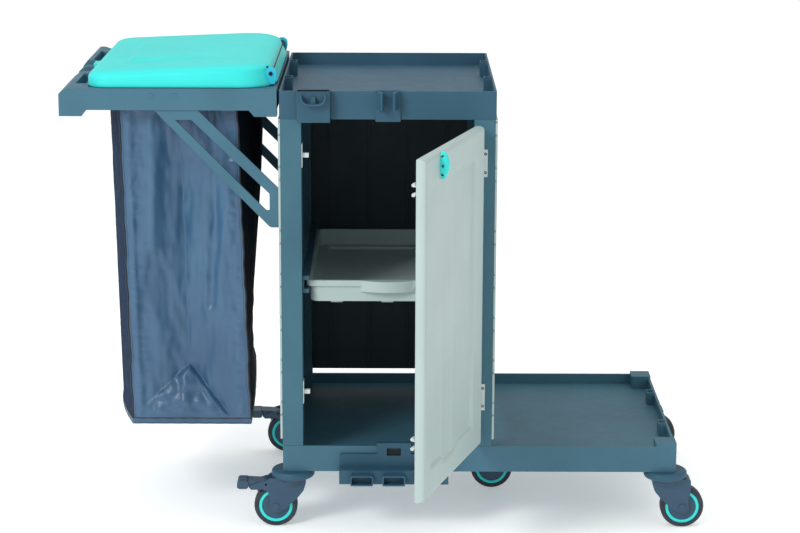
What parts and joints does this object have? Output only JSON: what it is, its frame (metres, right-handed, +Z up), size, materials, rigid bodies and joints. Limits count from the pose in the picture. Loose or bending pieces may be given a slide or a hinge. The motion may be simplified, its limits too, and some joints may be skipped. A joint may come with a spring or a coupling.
{
  "type": "housekeeping cart",
  "caption": "Housekeeping cart with a lidded laundry bag, a cabinet with a door and pull-out tray, a work tray and a low platform on swivel casters.",
  "frame": {"origin": "on the floor under the middle of the cart's outer box, with the door open as stored", "axes": "+X along the cart from the bag's hand grip to the open platform, -Y towards the door side, +Z up"},
  "size_m": [1.463, 1.0586, 1.0775],
  "materials": {
    "slate_plastic": "fine-textured blue-grey moulded plastic",
    "dark_panel": "dark blue-grey ribbed panel",
    "fork_plastic": "satin dark blue-grey nylon",
    "cyan_plastic": "glossy turquoise plastic",
    "pale_plastic": "satin pale grey plastic",
    "white_plastic": "white plastic",
    "steel": "zinc-plated steel",
    "tyre_rubber": "dark non-marking rubber",
    "bag_nylon": "shiny coated nylon with dark side cloths and black piping"
  },
  "bodies": {
    "chassis": {"deck": "slate_plastic", "post_front_left": "slate_plastic", "post_front_right": "slate_plastic", "post_rear_left": "slate_plastic", "post_rear_right": "slate_plastic", "side_panel_left": "pale_plastic", "side_panel_right": "pale_plastic", "back_panel": "dark_panel", "top_tray": "slate_plastic", "tray_screws": "steel", "bag_frame": "slate_plastic", "brace_front": "slate_plastic", "brace_rear": "slate_plastic", "bag": "bag_nylon", "lid_hinge_rod": "steel", "hook_plate": "slate_plastic", "spring_clip": "slate_plastic", "tool_holder": "slate_plastic", "door_pegs": "white_plastic", "hinge_bracket_lower": "white_plastic", "hinge_bracket_upper": "white_plastic", "drawer_runner_left": "slate_plastic", "drawer_runner_right": "slate_plastic", "caster_bumpers": "slate_plastic", "caster_stems": "steel"},
    "lid": {"lid": "cyan_plastic"},
    "door": {"door": "pale_plastic", "door_claws": "white_plastic", "lock_plate": "cyan_plastic"},
    "lock": {"lock_core": "steel", "lock_cam": "steel"},
    "drawer": {"drawer": "pale_plastic"},
    "caster_front_left": {"fork_front_left": "fork_plastic", "axle_front_left": "fork_plastic"},
    "wheel_front_left": {"tyre_front_left": "tyre_rubber", "hub_front_left": "fork_plastic", "ring_front_left": "cyan_plastic"},
    "brake_front_left": {"pedal_front_left": "fork_plastic"},
    "caster_front_right": {"fork_front_right": "fork_plastic", "axle_front_right": "fork_plastic"},
    "wheel_front_right": {"tyre_front_right": "tyre_rubber", "hub_front_right": "fork_plastic", "ring_front_right": "cyan_plastic"},
    "caster_rear_left": {"fork_rear_left": "fork_plastic", "axle_rear_left": "fork_plastic"},
    "wheel_rear_left": {"tyre_rear_left": "tyre_rubber", "hub_rear_left": "fork_plastic", "ring_rear_left": "cyan_plastic"},
    "brake_rear_left": {"pedal_rear_left": "fork_plastic"},
    "caster_rear_right": {"fork_rear_right": "fork_plastic", "axle_rear_right": "fork_plastic"},
    "wheel_rear_right": {"tyre_rear_right": "tyre_rubber", "hub_rear_right": "fork_plastic", "ring_rear_right": "cyan_plastic"},
    "caster_centre": {"fork_centre": "fork_plastic", "axle_centre": "fork_plastic"},
    "wheel_centre": {"tyre_centre": "tyre_rubber", "hub_centre": "fork_plastic", "ring_centre": "cyan_plastic"}
  },
  "joints": [
    {"name": "lid_hinge", "type": "hinge", "parent": "chassis", "child": "lid", "pos_m": [-0.2635, 0.20348, 1.053], "axis": [0, 1, 0], "range_deg": [0, 105]},
    {"name": "door_hinge", "type": "hinge", "parent": "chassis", "child": "door", "pos_m": [0.2055, -0.11302, 0.6], "axis": [0, 0, 1], "range_deg": [-71.5, 108.5]},
    {"name": "lock_turn", "type": "hinge", "parent": "door", "child": "lock", "pos_m": [0.10079, -0.42597, 0.919], "axis": [0.9483, -0.3173, 0], "range_deg": [0, 90]},
    {"name": "drawer_slide", "type": "slide", "parent": "chassis", "child": "drawer", "axis": [0, -1, 0], "range_m": [0, 0.065]},
    {"name": "swivel_front_left", "type": "hinge", "parent": "chassis", "child": "caster_front_left", "pos_m": [-0.2195, -0.07302, 0.1185], "axis": [0, 0, 1], "continuous": true},
    {"name": "roll_front_left", "type": "hinge", "parent": "caster_front_left", "child": "wheel_front_left", "pos_m": [-0.2595, -0.07302, 0.05], "axis": [0, 1, 0], "continuous": true},
    {"name": "brake_front_left", "type": "hinge", "parent": "caster_front_left", "child": "brake_front_left", "pos_m": [-0.2815, -0.07302, 0.1035], "axis": [0, -1, 0], "range_deg": [0, 8]},
    {"name": "swivel_front_right", "type": "hinge", "parent": "chassis", "child": "caster_front_right", "pos_m": [0.6415, -0.07302, 0.1185], "axis": [0, 0, 1], "continuous": true},
    {"name": "roll_front_right", "type": "hinge", "parent": "caster_front_right", "child": "wheel_front_right", "pos_m": [0.6815, -0.07302, 0.05], "axis": [0, 1, 0], "continuous": true},
    {"name": "swivel_rear_left", "type": "hinge", "parent": "chassis", "child": "caster_rear_left", "pos_m": [-0.2195, 0.47998, 0.1185], "axis": [0, 0, 1], "continuous": true},
    {"name": "roll_rear_left", "type": "hinge", "parent": "caster_rear_left", "child": "wheel_rear_left", "pos_m": [-0.2595, 0.47998, 0.05], "axis": [0, 1, 0], "continuous": true},
    {"name": "brake_rear_left", "type": "hinge", "parent": "caster_rear_left", "child": "brake_rear_left", "pos_m": [-0.2815, 0.47998, 0.1035], "axis": [0, -1, 0], "range_deg": [0, 8]},
    {"name": "swivel_rear_right", "type": "hinge", "parent": "chassis", "child": "caster_rear_right", "pos_m": [0.6415, 0.47998, 0.1185], "axis": [0, 0, 1], "continuous": true},
    {"name": "roll_rear_right", "type": "hinge", "parent": "caster_rear_right", "child": "wheel_rear_right", "pos_m": [0.6815, 0.47998, 0.05], "axis": [0, 1, 0], "continuous": true},
    {"name": "swivel_centre", "type": "hinge", "parent": "chassis", "child": "caster_centre", "pos_m": [0.211, 0.20348, 0.1185], "axis": [0, 0, 1], "continuous": true},
    {"name": "roll_centre", "type": "hinge", "parent": "caster_centre", "child": "wheel_centre", "pos_m": [0.251, 0.20348, 0.05], "axis": [0, 1, 0], "continuous": true}
  ]
}
